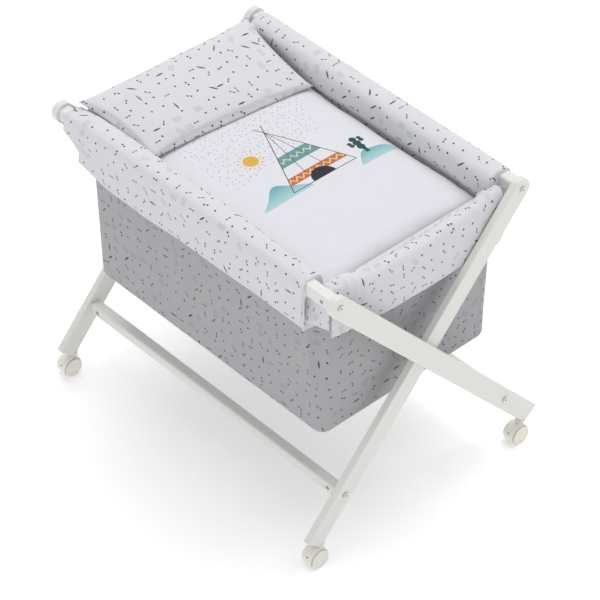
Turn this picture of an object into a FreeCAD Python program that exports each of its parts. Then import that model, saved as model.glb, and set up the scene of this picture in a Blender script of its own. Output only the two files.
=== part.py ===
"""Scissor bassinet: two nested wooden U-frames that cross at a pivot, on four swivel casters.

The frame carries a hanging fabric basket with padded rims, a mattress, a quilt and a pillow.
Millimetres, +Z up. The origin is on the floor, under the middle of the bassinet.
+X runs from the head (pillow) end to the foot end, and the front long side is at -Y.
"""
import FreeCAD, Part
import math
import os

os.makedirs("parts", exist_ok=True)
doc = FreeCAD.newDocument("scissor_bassinet")
V = FreeCAD.Vector
X_AXIS = V(1, 0, 0)
Y_AXIS = V(0, 1, 0)
Z_AXIS = V(0, 0, 1)

# ---------------------------------------------------------------- driving dimensions
DIMENSIONS = [
    ("frame_length", 850, "over the outer faces of the outer legs"),
    ("leg_thickness", 17, "along X"),
    ("leg_width", 46, "across the flat face of a leg"),
    ("leg_gap", 2, "between the outer and the inner leg, filled by a washer"),
    ("leg_edge", 2.5, "rounding of the legs' long edges"),
    ("rail_offset", 258, "Y of a top rail's axis"),
    ("rail_height", 690, "Z of a top rail's axis"),
    ("stretcher_offset", 221.5, "Y of a lower stretcher's axis"),
    ("stretcher_height", 153, "Z of a lower stretcher's axis"),
    ("rail_size", 28, "side of a top rail's square section"),
    ("stretcher_size", 26, "side of a stretcher's square section"),
    ("bar_edge", 5, "rounding of the rails' and stretchers' long edges"),
    ("leg_foot_height", 54, "flat underside of a leg, above the floor"),
    ("foot_flat_end", 296, "Y where the flat underside ends and the tip slopes up"),
    ("foot_tip_slope", 40.7, "degrees"),
    ("bolt_radius", 3, "connector bolts"),
    ("bolt_clearance", 0.25, "radial, in the legs and bar ends"),
    ("bolt_head_radius", 6.5, ""),
    ("bolt_head_height", 3.5, ""),
    ("bolt_reach", 32, "into the end of a bar"),
    ("barrel_radius", 5, "cross-dowel barrel nut"),
    ("barrel_length", 18, ""),
    ("barrel_inset", 22, "from the end of a bar"),
    ("pivot_radius", 4, "pivot bolt"),
    ("pivot_clearance", 0.05, "radial running clearance"),
    ("pivot_head_radius", 9, ""),
    ("pivot_head_height", 3.6, ""),
    ("insert_radius", 6, "threaded insert in the outer leg"),
    ("insert_depth", 12, ""),
    ("washer_radius", 14, ""),
    ("stem_offset", 284, "Y of a caster stem's axis"),
    ("stem_radius", 4, ""),
    ("socket_radius", 6, "plastic sleeve in the leg's end grain"),
    ("socket_depth", 30, ""),
    ("flange_radius", 11, ""),
    ("flange_height", 2, ""),
    ("wheel_radius", 22, ""),
    ("wheel_inner", 5.3, "distance of a wheel's inner face from the caster's middle"),
    ("wheel_outer", 18, "distance of a wheel's outer face from the caster's middle"),
    ("wheel_trail", 12, "from the stem's axis back to the axle"),
    ("hood_radius", 24, ""),
    ("hood_skin", 1.2, ""),
    ("hood_half_width", 13, ""),
    ("axle_radius", 2.5, ""),
    ("roll_radius", 30, "padded roll round a top rail"),
    ("sleeve_radius", 18.2, "round channel of the back roll, which turns on its rail"),
    ("valance_depth", 106, "from the rail's axis down to the hem"),
    ("valance_skin", 8, ""),
    ("front_roll_head", -388, "X of the front roll's head end"),
    ("front_roll_foot", 342, "X of the front roll's foot end"),
    ("back_roll_head", -372, "X of the back roll's head end"),
    ("back_roll_foot", 355, "X of the back roll's foot end"),
    ("end_roll_radius", 22, "padded roll across the head and foot ends"),
    ("end_roll_offset", 365.5, "X of its axis"),
    ("end_roll_half_width", 227.7, ""),
    ("end_roll_height", 680, ""),
    ("end_flap_bottom", 570, ""),
    ("basket_bottom", 282, ""),
    ("basket_top", 657, ""),
    ("basket_foot_half_length", 350, "at the bottom"),
    ("basket_foot_half_width", 235, "at the bottom"),
    ("basket_rim_half_length", 354, "at the top"),
    ("basket_rim_half_width", 240, "at the top"),
    ("basket_corner", 22, "plan radius, and the padded lining's"),
    ("basket_skin", 4, ""),
    ("lining_half_length", 348.4, "padded wall inside the basket, outside"),
    ("lining_half_width", 234, ""),
    ("lining_room_half_length", 328, "and inside"),
    ("lining_room_half_width", 224, ""),
    ("lining_room_corner", 30, ""),
    ("lining_top", 657.5, ""),
    ("sling_height", 537, "fabric floor sewn to the basket's walls"),
    ("sling_skin", 3, ""),
    ("board_height", 540.5, ""),
    ("board_thickness", 5, ""),
    ("board_half_length", 347.5, ""),
    ("board_half_width", 233, ""),
    ("board_corner", 24, ""),
    ("mattress_bottom", 546, ""),
    ("mattress_thickness", 60, ""),
    ("mattress_half_length", 327, ""),
    ("mattress_half_width", 223.3, ""),
    ("mattress_corner", 32, ""),
    ("quilt_bottom", 606.5, ""),
    ("quilt_thickness", 48, ""),
    ("quilt_half_length", 325, ""),
    ("quilt_half_width", 222, ""),
    ("quilt_corner", 40, ""),
    ("quilt_edge", 15, "rounding of its upper edge"),
    ("pillow_length", 282, "along the bassinet"),
    ("pillow_width", 424, ""),
    ("pillow_front", -227, "Y of the pillow's front edge"),
    ("pillow_thickness", 34, ""),
    ("pillow_head", -392, "X of the pillow's upper edge"),
    ("pillow_head_height", 707, "Z of the pillow's underside at the head end"),
    ("pillow_slope", 9.6, "degrees, down towards the foot end"),
    ("catch_distance", 85, "from a top bolt down the leg to the catch"),
    ("catch_length", 25, ""),
    ("catch_height", 10, ""),
    ("catch_thickness", 12, ""),
]
sheet = doc.addObject("Spreadsheet::Sheet", "Dimensions")
for row, (alias, value, note) in enumerate(DIMENSIONS, start=1):
    sheet.set(f"A{row}", note)
    sheet.set(f"B{row}", str(value))
    sheet.setAlias(f"B{row}", alias)
doc.recompute()


def size(alias):
    return float(sheet.get(alias))


# ---------------------------------------------------------------- places worked out from them
OUTER_LEG_X = size("frame_length") / 2 - size("leg_thickness") / 2
INNER_LEG_X = OUTER_LEG_X - size("leg_thickness") - size("leg_gap")
OUTER_INSIDE_X = OUTER_LEG_X - size("leg_thickness") / 2
INNER_INSIDE_X = INNER_LEG_X - size("leg_thickness") / 2
RUN = size("rail_offset") + size("stretcher_offset")
RISE = size("rail_height") - size("stretcher_height")
LEAN = math.degrees(math.atan2(RUN, RISE))
PIVOT_HEIGHT = size("rail_height") - RISE * size("rail_offset") / RUN
TOP_REACH = math.hypot(size("rail_offset"), size("rail_height") - PIVOT_HEIGHT)
SPARE = 110

finished = []


def bound(kind, name, label=None, **expressions):
    """A primitive whose sizes are expressions of the sheet's cells."""
    item = doc.addObject(kind, name)
    for prop, text in expressions.items():
        item.setExpression(prop, text.replace("$", "Dimensions."))
    if label:
        item.Label = label
    return item


def box(name, length, width, height, corner, turn=0.0, about=None):
    """A box from its lowest corner, optionally turned about an X axis through `about`."""
    item = bound("Part::Box", name, Length=length, Width=width, Height=height)
    place = FreeCAD.Placement(V(*corner), FreeCAD.Rotation())
    if turn:
        place = FreeCAD.Placement(V(), FreeCAD.Rotation(X_AXIS, turn), V(*about)).multiply(place)
    item.Placement = place
    return item


def cylinder(name, radius, height, start, axis):
    item = bound("Part::Cylinder", name, Radius=radius, Height=height)
    item.Placement = FreeCAD.Placement(V(*start), FreeCAD.Rotation(Z_AXIS, axis))
    return item


def fuse(name, items):
    item = doc.addObject("Part::MultiFuse", name)
    item.Shapes = items
    item.Refine = True
    return item


def cut(name, base, tools):
    item = doc.addObject("Part::Cut", name)
    item.Base = base
    item.Tool = tools[0] if len(tools) == 1 else fuse(name + "_tools", tools)
    return item


def rounded(name, base, radius, wanted):
    """Fillet the edges of base for which wanted(edge) is true."""
    doc.recompute()
    item = doc.addObject("Part::Fillet", name)
    item.Base = base
    edges = [i for i, edge in enumerate(base.Shape.Edges, start=1) if wanted(edge)]
    item.Edges = [(i, radius, radius) for i in edges]
    return item


def group(name, items):
    """Separate identical solids that share one node."""
    item = doc.addObject("Part::Compound", name)
    item.Links = items
    return item


def finish(item, node):
    item.Label = node
    finished.append(item)


def solid(node, shape):
    """A shape that no primitive fits, made with Part's own functions."""
    item = doc.addObject("Part::Feature", node)
    item.Shape = shape
    finish(item, node)


# ---------------------------------------------------------------- wooden frame
def leg(node, end, middle_x, side, pivot_tools):
    """A board from a rail (top, at -side) to a caster (bottom, at +side), clipped at its foot.

    end is +1 at the foot and -1 at the head. side is +1 for the outer frame, -1 for the inner.
    """
    half = size("leg_thickness") / 2
    x = end * middle_x
    low = (x - half, -size("leg_width") / 2, PIVOT_HEIGHT - TOP_REACH - SPARE)
    centre = (0, 0, PIVOT_HEIGHT)
    board = box(node + "_board", "$leg_thickness", "$leg_width", f"{2 * TOP_REACH + SPARE}", low,
                turn=side * LEAN, about=centre)
    top_y = -side * size("rail_offset")
    cap = cylinder(node + "_cap", "$leg_width / 2", "$leg_thickness",
                   (x - half, top_y, size("rail_height")), X_AXIS)
    blank = fuse(node + "_blank", [board, cap])
    eased = rounded(node + "_eased", blank, size("leg_edge"),
                    lambda e: abs(e.BoundBox.XLength) < 1e-6)
    foot_y = side * size("foot_flat_end")
    foot_z = size("leg_foot_height")
    under = box(node + "_under", f"{2 * half + 2}", "400", "200",
                (x - half - 1, foot_y - 200, foot_z - 200))
    tip_y = foot_y if side > 0 else foot_y - 200
    tip = box(node + "_tip", f"{2 * half + 2}", "200", "200", (x - half - 1, tip_y, foot_z - 200),
              turn=side * size("foot_tip_slope"), about=(x, foot_y, foot_z))
    tools = [under, tip]
    for part, y, z in (("top", top_y, size("rail_height")),
                       ("low", side * size("stretcher_offset"), size("stretcher_height"))):
        tools.append(cylinder(f"{node}_{part}_hole", "$bolt_radius + $bolt_clearance",
                              "$leg_thickness + 2", (x - half - 1, y, z), X_AXIS))
    tools.append(cylinder(node + "_socket_hole", "$socket_radius", "$socket_depth",
                          (x, side * size("stem_offset"), foot_z), Z_AXIS))
    tools.append(pivot_tools)
    finish(cut(node + "_leg", eased, tools), node)


def bar(node, half_length, y, z, side_size):
    """A square bar with eased edges, drilled at each end for a bolt and its barrel nut."""
    section = size(side_size)
    blank = box(node + "_blank", f"{2 * half_length}", "$" + side_size, "$" + side_size,
                (-half_length, y - section / 2, z - section / 2))
    eased = rounded(node + "_eased", blank, size("bar_edge"),
                    lambda e: e.BoundBox.XLength > half_length)
    outward = -Y_AXIS if y < 0 else Y_AXIS
    tools = []
    for end in (-1, 1):
        name = f"{node}_{'foot' if end > 0 else 'head'}"
        tools.append(cylinder(name + "_bolt_hole", "$bolt_radius + $bolt_clearance",
                              "$bolt_reach + 4", (end * half_length, y, z), X_AXIS * -end))
        nut_x = end * (half_length - size("barrel_inset"))
        start = (nut_x, y - outward.y * size("barrel_length") / 2, z)
        tools.append(cylinder(name + "_nut_hole", "$barrel_radius", "$barrel_length + 10",
                              start, outward))
    finish(cut(node + "_bar", eased, tools), node)


def connector_bolts(node, face_x, places):
    """Button-head bolts through the legs into the bar ends, one per place and end."""
    bolts = []
    for number, (y, z) in enumerate(places):
        for end in (-1, 1):
            name = f"{node}_{number}_{'foot' if end > 0 else 'head'}"
            inward = X_AXIS * -end
            face = (end * face_x, y, z)
            shank = cylinder(name + "_shank", "$bolt_radius", "$leg_thickness + $bolt_reach",
                             face, inward)
            head = cylinder(name + "_head", "$bolt_head_radius", "$bolt_head_height",
                            face, X_AXIS * end)
            recess_x = end * (face_x + size("bolt_head_height") - 2)
            recess = bound("Part::Prism", name + "_recess", Circumradius="$bolt_radius * 0.8",
                           Height="4")
            recess.Placement = FreeCAD.Placement(V(recess_x, y, z),
                                                 FreeCAD.Rotation(Z_AXIS, X_AXIS * end))
            bolts.append(cut(name, fuse(name + "_blank", [shank, head]), [recess]))
    finish(group(node + "_group", bolts), node)


def barrel_nuts(node, half_length, places):
    """Cross dowels in the bar ends, drilled through for the bolts."""
    nuts = []
    for number, (y, z) in enumerate(places):
        outward = -1 if y < 0 else 1
        for end in (-1, 1):
            name = f"{node}_{number}_{'foot' if end > 0 else 'head'}"
            x = end * (half_length - size("barrel_inset"))
            start = (x, y - outward * size("barrel_length") / 2, z)
            body = cylinder(name + "_body", "$barrel_radius", "$barrel_length", start,
                            Y_AXIS * outward)
            thread = cylinder(name + "_thread", "$bolt_radius", "20", (x - 10, y, z), X_AXIS)
            nuts.append(cut(name, body, [thread]))
    finish(group(node + "_group", nuts), node)


def pivots():
    """At each end a bolt passes through the inner leg and a washer into the outer leg's insert."""
    bolts, inserts, washers = [], [], []
    for end, word in ((-1, "head"), (1, "foot")):
        inward = X_AXIS * -end
        shank_start = (end * (OUTER_INSIDE_X + size("insert_depth") - 1), 0, PIVOT_HEIGHT)
        shank = cylinder(f"pivot_{word}_shank", "$pivot_radius",
                         "$insert_depth - 1 + $leg_gap + $leg_thickness + 0.1", shank_start, inward)
        head_start = (end * (INNER_INSIDE_X - 0.1), 0, PIVOT_HEIGHT)
        head = cylinder(f"pivot_{word}_head", "$pivot_head_radius", "$pivot_head_height",
                        head_start, inward)
        bolts.append(fuse(f"pivot_{word}_bolt", [shank, head]))
        insert_start = (end * OUTER_INSIDE_X, 0, PIVOT_HEIGHT)
        body = cylinder(f"insert_{word}_body", "$insert_radius", "$insert_depth", insert_start,
                        X_AXIS * end)
        thread = cylinder(f"insert_{word}_thread", "$pivot_radius", "$insert_depth - 1",
                          insert_start, X_AXIS * end)
        inserts.append(cut(f"insert_{word}", body, [thread]))
        washer_start = (end * (OUTER_INSIDE_X - 0.05), 0, PIVOT_HEIGHT)
        disc = cylinder(f"washer_{word}_disc", "$washer_radius", "$leg_gap - 0.1", washer_start,
                        inward)
        hole = cylinder(f"washer_{word}_hole", "$pivot_radius + $pivot_clearance", "$leg_gap",
                        washer_start, inward)
        washers.append(cut(f"washer_{word}", disc, [hole]))
    finish(group("pivot_bolt_group", bolts), "pivot_bolts")
    finish(group("pivot_insert_group", inserts), "pivot_inserts")
    finish(group("pivot_washer_group", washers), "pivot_washers")


def catch():
    """A small rounded catch on the under edge of the inner foot-end leg, on a spigot."""
    down = size("catch_distance")
    lean = math.radians(LEAN)
    along_leg = V(0, -math.sin(lean), -math.cos(lean))
    outward = V(0, math.cos(lean), -math.sin(lean))
    top = V(INNER_LEG_X, size("rail_offset"), size("rail_height"))
    foot = top + along_leg * down + outward * (size("leg_width") / 2)
    frame = FreeCAD.Rotation(V(1, 0, 0), along_leg * -1, outward, "ZXY")
    block = bound("Part::Box", "catch_block", Length="$catch_thickness", Width="$catch_length",
                  Height="$catch_height")
    corner = foot - X_AXIS * (size("catch_thickness") / 2) + along_leg * (size("catch_length") / 2)
    block.Placement = FreeCAD.Placement(corner, frame)
    rounded_block = rounded("catch_rounded", block, 4,
                            lambda e: (e.CenterOfMass - corner).dot(outward) > size("catch_height") - 1)
    spigot = cylinder("catch_spigot", "3", "12", foot - outward * 12, outward)
    finish(fuse("catch_part", [rounded_block, spigot]), "side_catch")
    return cylinder("catch_spigot_hole", "3", "12", foot - outward * 12, outward)


def frame():
    spigot_hole = catch()
    for end, word in ((1, "foot"), (-1, "head")):
        blind = cylinder(f"outer_{word}_pivot_hole", "$insert_radius", "$insert_depth",
                         (end * OUTER_INSIDE_X, 0, PIVOT_HEIGHT), X_AXIS * end)
        leg(f"outer_leg_{word}", end, OUTER_LEG_X, 1, blind)
        through = cylinder(f"inner_{word}_pivot_hole", "$pivot_radius + $pivot_clearance",
                           "$leg_thickness + 2", (end * (INNER_INSIDE_X - 1), 0, PIVOT_HEIGHT),
                           X_AXIS * end)
        hole = fuse("inner_foot_holes", [through, spigot_hole]) if end > 0 else through
        leg(f"inner_leg_{word}", end, INNER_LEG_X, -1, hole)
    front_rail = (-size("rail_offset"), size("rail_height"))
    back_rail = (size("rail_offset"), size("rail_height"))
    front_low = (-size("stretcher_offset"), size("stretcher_height"))
    back_low = (size("stretcher_offset"), size("stretcher_height"))
    bar("rail_front", OUTER_INSIDE_X, *front_rail, "rail_size")
    bar("stretcher_back", OUTER_INSIDE_X, *back_low, "stretcher_size")
    bar("rail_back", INNER_INSIDE_X, *back_rail, "rail_size")
    bar("stretcher_front", INNER_INSIDE_X, *front_low, "stretcher_size")
    outer_face = OUTER_LEG_X + size("leg_thickness") / 2
    inner_face = INNER_LEG_X + size("leg_thickness") / 2
    connector_bolts("outer_frame_bolts", outer_face, [front_rail, back_low])
    connector_bolts("inner_frame_bolts", inner_face, [back_rail, front_low])
    barrel_nuts("outer_barrel_nuts", OUTER_INSIDE_X, [front_rail, back_low])
    barrel_nuts("inner_barrel_nuts", INNER_INSIDE_X, [back_rail, front_low])
    pivots()


# ---------------------------------------------------------------- casters
def caster(word, x, y):
    """A hooded twin-wheel caster whose wheels roll along Y and trail towards -Y."""
    name = "caster_" + word
    foot_z = size("leg_foot_height")
    flange_z = foot_z - size("flange_height")
    axle_y = y - size("wheel_trail")
    axle_z = size("wheel_radius")
    flange = cylinder(name + "_flange", "$flange_radius", "$flange_height", (x, y, flange_z), Z_AXIS)
    sleeve = cylinder(name + "_sleeve", "$socket_radius", "$socket_depth", (x, y, foot_z), Z_AXIS)
    bore = cylinder(name + "_bore", "$stem_radius + $pivot_clearance",
                    "$socket_depth + $flange_height", (x, y, flange_z), Z_AXIS)
    finish(cut(name + "_socket_part", fuse(name + "_socket_blank", [flange, sleeve]), [bore]),
           name + "_socket")

    stem_bottom = 34
    finish(cylinder(name + "_stem_part", "$stem_radius",
                    f"$leg_foot_height + $socket_depth - 2 - {stem_bottom}",
                    (x, y, stem_bottom), Z_AXIS), name + "_stem")

    half = size("hood_half_width")
    shell = cylinder(name + "_shell", "$hood_radius", "2 * $hood_half_width",
                     (x - half, axle_y, axle_z), X_AXIS)
    neck = cylinder(name + "_neck", "$flange_radius - 1",
                    f"$leg_foot_height - $flange_height - 0.2 - {stem_bottom - 4}",
                    (x, y, stem_bottom - 4), Z_AXIS)
    web = size("wheel_inner") - 0.3
    tools = []
    for end, tag in ((-1, "a"), (1, "b")):
        tools.append(cylinder(f"{name}_pocket_{tag}", "$hood_radius - $hood_skin",
                              "$hood_half_width", (x + end * web, axle_y, axle_z), X_AXIS * end))
    reach = size("hood_radius") + 1
    tools.append(box(name + "_clear_floor", "60", "60", "20", (x - 30, axle_y - 30, -12)))
    tools.append(box(name + "_clear_front", "60", "60", "40", (x - 30, axle_y - 9, -24)))
    tools.append(cylinder(name + "_axle_hole", "$axle_radius", f"{2 * reach}",
                          (x - reach, axle_y, axle_z), X_AXIS))
    tools.append(cylinder(name + "_stem_hole", "$stem_radius", "40", (x, y, stem_bottom), Z_AXIS))
    finish(cut(name + "_hood_part", fuse(name + "_hood_blank", [shell, neck]), tools),
           name + "_hood")

    axle_half = size("wheel_outer") - 1
    finish(cylinder(name + "_axle_part", "$axle_radius", f"{2 * axle_half}",
                    (x - axle_half, axle_y, axle_z), X_AXIS), name + "_axle")
    for end, tag in ((-1, "head_side"), (1, "foot_side")):
        start = (x + end * size("wheel_inner"), axle_y, axle_z)
        disc = cylinder(f"{name}_{tag}_disc", "$wheel_radius", "$wheel_outer - $wheel_inner",
                        start, X_AXIS * end)
        outer_x = x + end * size("wheel_outer")
        tyre = rounded(f"{name}_{tag}_tyre", disc, 2.5,
                       lambda e, at=outer_x: abs(e.BoundBox.Center.x - at) < 1e-3)
        hub = cylinder(f"{name}_{tag}_hub_hole", "$axle_radius + $pivot_clearance",
                       f"{axle_half + 0.3} - $wheel_inner", start, X_AXIS * end)
        finish(cut(f"{name}_{tag}_wheel_part", tyre, [hub]), f"{name}_wheel_{tag}")


# ---------------------------------------------------------------- soft parts
def padded_roll(node, side, head_x, foot_x, room):
    """The padded roll round a top rail, with the valance that hangs outside it.

    room is the channel through it that the rail fills.
    """
    length = f"{foot_x - head_x}"
    y = side * size("rail_offset")
    z = size("rail_height")
    roll = cylinder(node + "_roll", "$roll_radius", length, (head_x, y, z), X_AXIS)
    skin = size("valance_skin")
    low_y = y + size("roll_radius") - skin if side > 0 else y - size("roll_radius")
    flap = box(node + "_flap", length, "$valance_skin", "$valance_depth",
               (head_x, low_y, z - size("valance_depth")))
    finish(cut(node + "_part", fuse(node + "_blank", [roll, flap]), [room]), node)


def end_bumper(node, end, front_y):
    """The padded wall across one end: a soft roll on top and a flap hanging outside."""
    across = f"{size('end_roll_half_width') - front_y}"
    x = end * size("end_roll_offset")
    roll = cylinder(node + "_roll", "$end_roll_radius", across,
                    (x, front_y, size("end_roll_height")), Y_AXIS)
    skin = size("valance_skin")
    outside = x + end * size("end_roll_radius")
    flap = box(node + "_flap", "$valance_skin", across, "$end_roll_height - $end_flap_bottom",
               (min(outside, outside - end * skin), front_y, size("end_flap_bottom")))
    finish(fuse(node + "_part", [roll, flap]), node)


def rounded_rectangle(half_length, half_width, radius, z):
    """A closed wire with four quarter-circle corners."""
    edges = []
    corners = ((1, 1), (-1, 1), (-1, -1), (1, -1))
    points = []
    for number, (sx, sy) in enumerate(corners):
        centre = V(sx * (half_length - radius), sy * (half_width - radius), z)
        start = math.radians(90 * number)
        arc = [centre + V(math.cos(a), math.sin(a), 0) * radius
               for a in (start, start + math.pi / 4, start + math.pi / 2)]
        points.append(arc)
    for number, arc in enumerate(points):
        edges.append(Part.Arc(*arc).toShape())
        edges.append(Part.makeLine(arc[2], points[(number + 1) % 4][0]))
    return Part.Wire(edges)


def slab(half_length, half_width, radius, low, high):
    face = Part.Face(rounded_rectangle(half_length, half_width, radius, low))
    return face.extrude(V(0, 0, high - low))


def tapered(shrink, low, high):
    """The basket's outline between two heights, moved inwards by shrink."""
    bottom = size("basket_bottom")
    share = size("basket_top") - bottom
    wires = []
    for z in (low, high):
        part = (z - bottom) / share
        length = size("basket_foot_half_length") * (1 - part) + size("basket_rim_half_length") * part
        width = size("basket_foot_half_width") * (1 - part) + size("basket_rim_half_width") * part
        wires.append(rounded_rectangle(length - shrink, width - shrink,
                                       size("basket_corner") - shrink, z))
    return Part.makeLoft(wires, True, True)


def soft_parts():
    slack = 0.4
    half_channel = size("rail_size") / 2 + slack
    square = box("front_channel", f"{2 * OUTER_INSIDE_X}", f"{2 * half_channel}", f"{2 * half_channel}",
                 (-OUTER_INSIDE_X, -size("rail_offset") - half_channel, size("rail_height") - half_channel))
    round_sleeve = cylinder("back_channel", "$sleeve_radius", f"{2 * INNER_INSIDE_X}",
                            (-INNER_INSIDE_X, size("rail_offset"), size("rail_height")), X_AXIS)
    padded_roll("front_bumper", -1, size("front_roll_head"), size("front_roll_foot"), square)
    padded_roll("back_bumper", 1, size("back_roll_head"), size("back_roll_foot"), round_sleeve)
    end_bumper("foot_bumper", 1, 0.3 + size("rail_size") / 2 - size("rail_offset"))
    end_bumper("head_bumper", -1, -size("end_roll_half_width"))

    skin = size("basket_skin")
    bottom = size("basket_bottom")
    top = size("basket_top")
    solid("basket_shell", tapered(0, bottom, top).cut(tapered(skin, bottom + skin, top + skin)))

    lining_bottom = size("mattress_bottom")
    outside = slab(size("lining_half_length"), size("lining_half_width"), size("basket_corner"),
                   lining_bottom, size("lining_top"))
    inside = slab(size("lining_room_half_length"), size("lining_room_half_width"),
                  size("lining_room_corner"), lining_bottom, size("lining_top"))
    solid("inner_lining", outside.cut(inside))

    solid("mattress_sling", tapered(skin + 1, size("sling_height"),
                                    size("sling_height") + size("sling_skin")))
    board_low = size("board_height")
    solid("base_board", slab(size("board_half_length"), size("board_half_width"),
                             size("board_corner"), board_low, board_low + size("board_thickness")))
    mattress_top = size("mattress_bottom") + size("mattress_thickness")
    solid("mattress", slab(size("mattress_half_length"), size("mattress_half_width"),
                           size("mattress_corner"), size("mattress_bottom"), mattress_top))

    quilt_top = size("quilt_bottom") + size("quilt_thickness")
    quilt = slab(size("quilt_half_length"), size("quilt_half_width"), size("quilt_corner"),
                 size("quilt_bottom"), quilt_top)
    upper = [edge for edge in quilt.Edges if edge.BoundBox.ZMin > quilt_top - 1]
    solid("quilt", quilt.makeFillet(size("quilt_edge"), upper))

    pillow = bound("Part::Box", "pillow_block", Length="$pillow_length",
                   Width="$pillow_width", Height="$pillow_thickness")
    pillow.Placement = FreeCAD.Placement(
        V(size("pillow_head"), size("pillow_front"), size("pillow_head_height")),
        FreeCAD.Rotation(Y_AXIS, size("pillow_slope")))
    finish(rounded("pillow_part", pillow, 12, lambda e: True), "pillow")


# ---------------------------------------------------------------- build, check and write
frame()
for word, x, y in (("foot_back", OUTER_LEG_X, size("stem_offset")),
                   ("head_back", -OUTER_LEG_X, size("stem_offset")),
                   ("foot_front", INNER_LEG_X, -size("stem_offset")),
                   ("head_front", -INNER_LEG_X, -size("stem_offset"))):
    caster(word, x, y)
soft_parts()
doc.recompute()

for item in doc.Objects:
    if "Invalid" in item.State or "Error" in item.State:
        raise RuntimeError(f"{item.Name} failed: {item.State}")
for item in finished:
    if item.Shape.isNull() or not item.Shape.isValid() or not item.Shape.Solids:
        raise RuntimeError(f"{item.Label} is not a valid solid")
for item in finished:
    item.Shape.exportStep(os.path.join("parts", item.Label + ".step"))
whole = Part.makeCompound([item.Shape for item in finished])
limits = whole.BoundBox
print(f"{len(finished)} nodes, lean {LEAN:.2f} deg, pivot at Z {PIVOT_HEIGHT:.2f}")
print(f"X {limits.XMin:.1f}..{limits.XMax:.1f}  Y {limits.YMin:.1f}..{limits.YMax:.1f}"
      f"  Z {limits.ZMin:.1f}..{limits.ZMax:.1f}")
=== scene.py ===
"""Folding bassinet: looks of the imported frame, its padded fabric, basket and bedding."""
import bmesh
import bpy
import math
from mathutils import Matrix, Vector, noise


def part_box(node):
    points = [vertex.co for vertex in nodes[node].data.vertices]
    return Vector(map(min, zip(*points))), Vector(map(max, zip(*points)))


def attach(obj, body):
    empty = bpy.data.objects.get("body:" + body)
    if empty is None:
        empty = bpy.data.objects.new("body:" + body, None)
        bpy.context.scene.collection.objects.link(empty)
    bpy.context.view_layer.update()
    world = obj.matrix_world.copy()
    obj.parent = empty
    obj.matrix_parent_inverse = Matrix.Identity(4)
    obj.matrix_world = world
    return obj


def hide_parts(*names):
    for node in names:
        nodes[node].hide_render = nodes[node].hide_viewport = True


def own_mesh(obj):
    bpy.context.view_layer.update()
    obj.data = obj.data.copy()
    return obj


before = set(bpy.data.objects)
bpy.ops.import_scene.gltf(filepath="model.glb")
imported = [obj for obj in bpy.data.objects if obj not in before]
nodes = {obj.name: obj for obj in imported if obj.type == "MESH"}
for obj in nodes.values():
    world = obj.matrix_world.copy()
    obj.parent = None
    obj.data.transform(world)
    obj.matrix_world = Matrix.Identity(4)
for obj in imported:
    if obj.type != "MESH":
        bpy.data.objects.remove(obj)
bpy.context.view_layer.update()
scene = bpy.context.scene
MM = 0.001

WHITE_CLOTH = (0.76, 0.76, 0.785)
QUILT_CLOTH = (0.785, 0.785, 0.825)
GREY_CLOTH = (0.44, 0.44, 0.455)
INK = (0.012, 0.02, 0.025)
RUST = (0.30, 0.15, 0.11)
TEAL = (0.08, 0.19, 0.21)

PRINT_CELL = 28.5  # mm of cloth for each printed mark
THREAD_PITCH = 0.9  # mm, coarse enough to show
WEAVE_DEPTH = 0.00012  # m
STITCH_FROM_HEM = 12  # mm


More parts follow.
